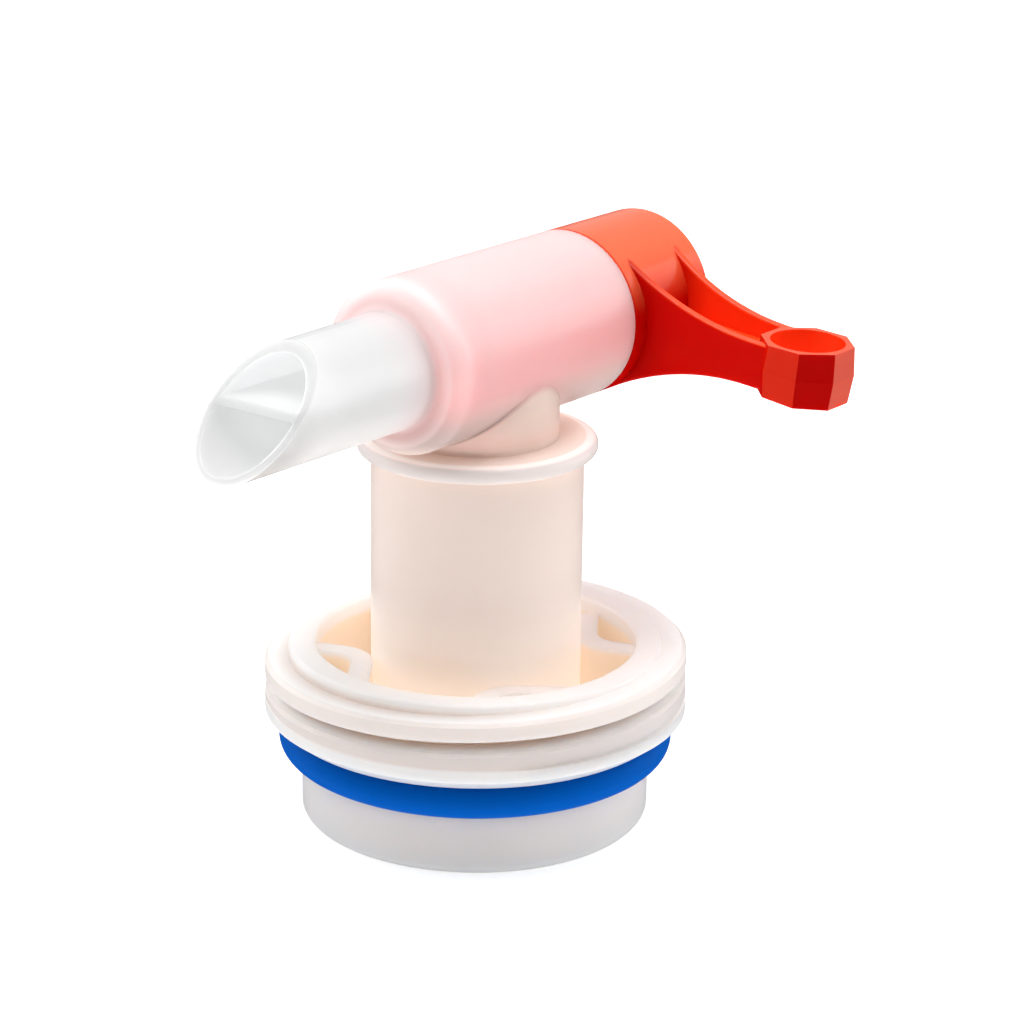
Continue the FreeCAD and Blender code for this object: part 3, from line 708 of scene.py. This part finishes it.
class DRUMTAP_OT_studio(bpy.types.Operator):
    """Set the pale floor, the soft lights and the camera"""

    bl_idname = "drumtap.studio"
    bl_label = "Set Studio"

    def execute(self, context):
        settings = context.scene.drumtap_studio
        self.floor(context.scene, settings)
        self.surround(context.scene, settings)
        for name, place, size, power in SOFTBOXES:
            soft_light(context.scene, name, place, size, getattr(settings, power))
        self.camera(context.scene, settings)
        context.scene.view_settings.view_transform = "Standard"
        return {"FINISHED"}

    def floor(self, scene, settings):
        """A pale plane under the tap, with no horizon in the picture."""
        half = settings.floor_width / 2
        mesh = bpy.data.meshes.new("studio_floor")
        mesh.from_pydata([(-half, -half, 0), (half, -half, 0), (half, half, 0),
                          (-half, half, 0)], [], [(0, 1, 2, 3)])
        plane = bpy.data.objects.new("studio_floor", mesh)
        scene.collection.objects.link(plane)
        f = Finish("studio_floor_paper")
        shade = f.mix(f.noise(0.4), (0.96, 0.96, 0.96), (0.98, 0.98, 0.98))
        # Lit a little more where the softboxes don't reach
        far = f.ramp(f.distance(f.x, f.y), 0.4, 1.2)
        f.set(Base_Color=shade, Roughness=0.9, Specular_IOR_Level=0.1,
              Emission_Color=(1.0, 1.0, 1.0),
              Emission_Strength=f.math("MULTIPLY_ADD", far, 0.35, 0.45),
              Normal=f.relief(f.noise(1 * MM), 0.01 * MM))
        mesh.materials.append(f.material)
        # Kept out of the gloss, which stays clean and dark on the sides of the tap
        plane.visible_glossy = False

    def surround(self, scene, settings):
        """Light from all round, less from the dark side and none from under the floor."""
        scene.world = bpy.data.worlds.new("studio_surround")
        scene.world.use_nodes = True
        n = Nodes(scene.world.node_tree)
        background = n.tree.nodes["Background"]
        direction = n.tree.nodes.new("ShaderNodeTexCoord").outputs["Generated"]
        shaded = n.ramp(n.along(direction, DARK_SIDE), 0.1, 0.9)
        light = n.math("MULTIPLY_ADD", shaded, settings.dark_side - settings.world_light,
                       settings.world_light)
        over_floor = n.ramp(n.split(direction)[2], -0.12, 0.12)
        n.link((1.0, 1.0, 1.0), background.inputs["Color"])
        n.link(n.both(light, over_floor), background.inputs["Strength"])

    def camera(self, scene, settings):
        """The camera that took the photo, as fitted to the tap's edges."""
        data = bpy.data.cameras.new("photo_camera")
        data.sensor_width = 36.0
        data.sensor_fit = "HORIZONTAL"
        data.lens = settings.lens
        data.clip_start = 0.01
        camera = bpy.data.objects.new("photo_camera", data)
        scene.collection.objects.link(camera)
        turn = Matrix((CAMERA_RIGHT, CAMERA_UP, CAMERA_BACK)).transposed().to_4x4()
        camera.matrix_world = Matrix.Translation(CAMERA_PLACE) @ turn
        scene.camera = camera


class DRUMTAP_PT_sidebar(bpy.types.Panel):
    """Lists the tap's pieces, their finishes and the studio"""

    bl_idname = "DRUMTAP_PT_sidebar"
    bl_label = "Drum Tap"
    bl_space_type = "VIEW_3D"
    bl_region_type = "UI"
    bl_category = "Drum Tap"

    def draw(self, context):
        for operator, group in STEPS:
            column = self.layout.box().column()
            column.operator(operator.bl_idname)
            settings = getattr(context.scene, group)
            for name in settings.bl_rna.properties.keys():
                if name not in {"rna_type", "name"}:
                    column.prop(settings, name)


SETTINGS = {
    "drumtap_body": DrumTapBodyFinish,
    "drumtap_plug": DrumTapPlugFinish,
    "drumtap_lever": DrumTapLeverFinish,
    "drumtap_seals": DrumTapSealFinish,
    "drumtap_studio": DrumTapStudio,
}

STEPS = [
    (DRUMTAP_OT_dress_body, "drumtap_body"),
    (DRUMTAP_OT_dress_plug, "drumtap_plug"),
    (DRUMTAP_OT_dress_lever, "drumtap_lever"),
    (DRUMTAP_OT_dress_seals, "drumtap_seals"),
    (DRUMTAP_OT_studio, "drumtap_studio"),
]


def register():
    for name, group in SETTINGS.items():
        bpy.utils.register_class(group)
        setattr(bpy.types.Scene, name, PointerProperty(type=group))
    for operator, _ in STEPS:
        bpy.utils.register_class(operator)
    bpy.utils.register_class(DRUMTAP_PT_sidebar)


def unregister():
    bpy.utils.unregister_class(DRUMTAP_PT_sidebar)
    for operator, _ in reversed(STEPS):
        bpy.utils.unregister_class(operator)
    for name, group in reversed(SETTINGS.items()):
        delattr(bpy.types.Scene, name)
        bpy.utils.unregister_class(group)


def main():
    register()
    bpy.ops.drumtap.dress_body()
    bpy.ops.drumtap.dress_plug()
    bpy.ops.drumtap.dress_lever()
    bpy.ops.drumtap.dress_seals()
    bpy.ops.drumtap.studio()


if __name__ == "__main__":
    main()
